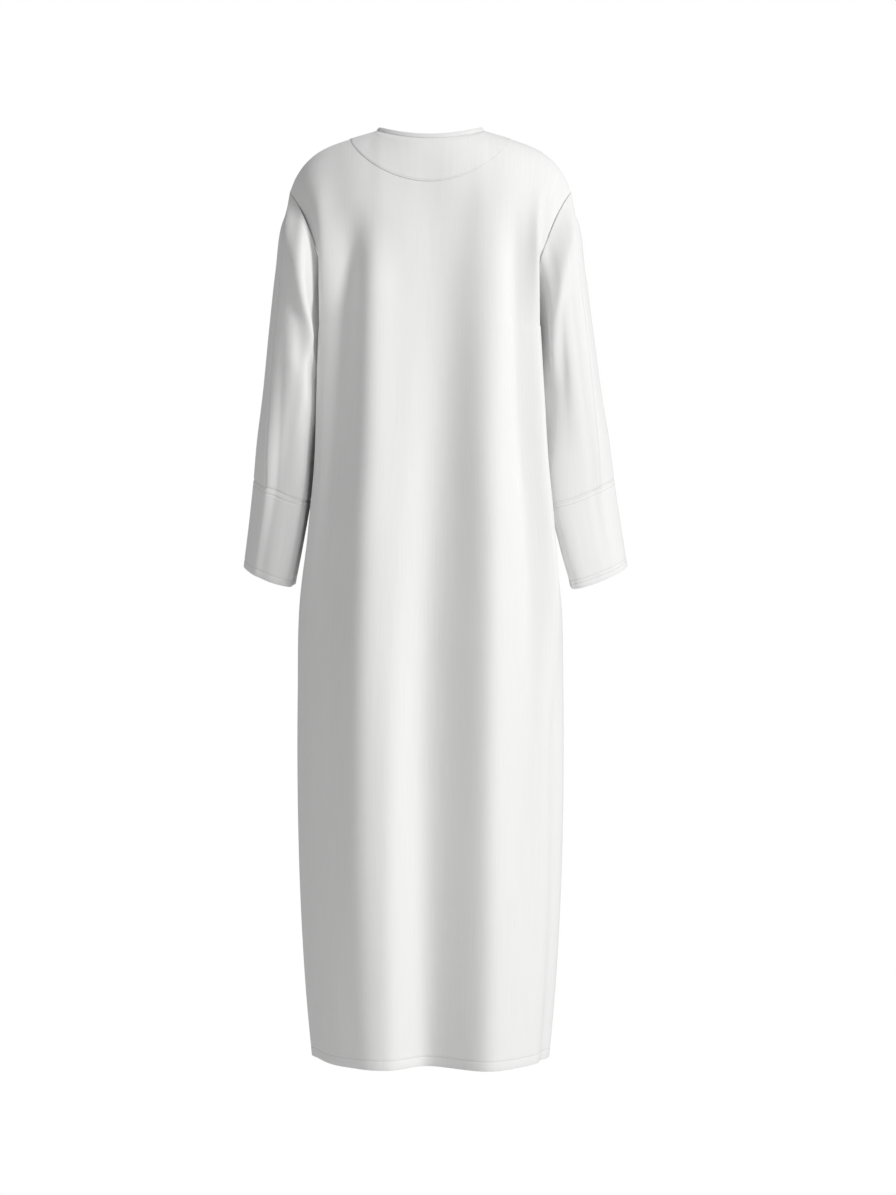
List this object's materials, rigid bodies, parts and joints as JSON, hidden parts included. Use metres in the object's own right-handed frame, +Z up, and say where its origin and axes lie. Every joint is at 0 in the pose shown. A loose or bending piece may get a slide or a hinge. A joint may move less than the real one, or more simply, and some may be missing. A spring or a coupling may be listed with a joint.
{
  "type": "abaya",
  "caption": "Long plain abaya as worn, with dropped shoulders, a half-moon back yoke, a narrow neck band and long sleeves with deep cuffs.",
  "frame": {"origin": "midway between the two neck points, at the top of the shoulders, where the wearer holds the abaya up", "axes": "+Z up, -Y to the wearer's front and +Y to the back, +X to the wearer's left"},
  "size_m": [0.5823, 0.2781, 1.3897],
  "materials": {
    "cloth": "matte woven"
  },
  "bodies": {
    "root": {"upper_back_panel": "cloth", "lower_back_panel": "cloth", "upper_front_panel": "cloth", "lower_front_panel": "cloth", "half_moon_yoke": "cloth", "neck_band": "cloth", "left_back_sleeve": "cloth", "left_front_sleeve": "cloth", "left_cuff": "cloth", "right_back_sleeve": "cloth", "right_front_sleeve": "cloth", "right_cuff": "cloth"}
  },
  "joints": []
}
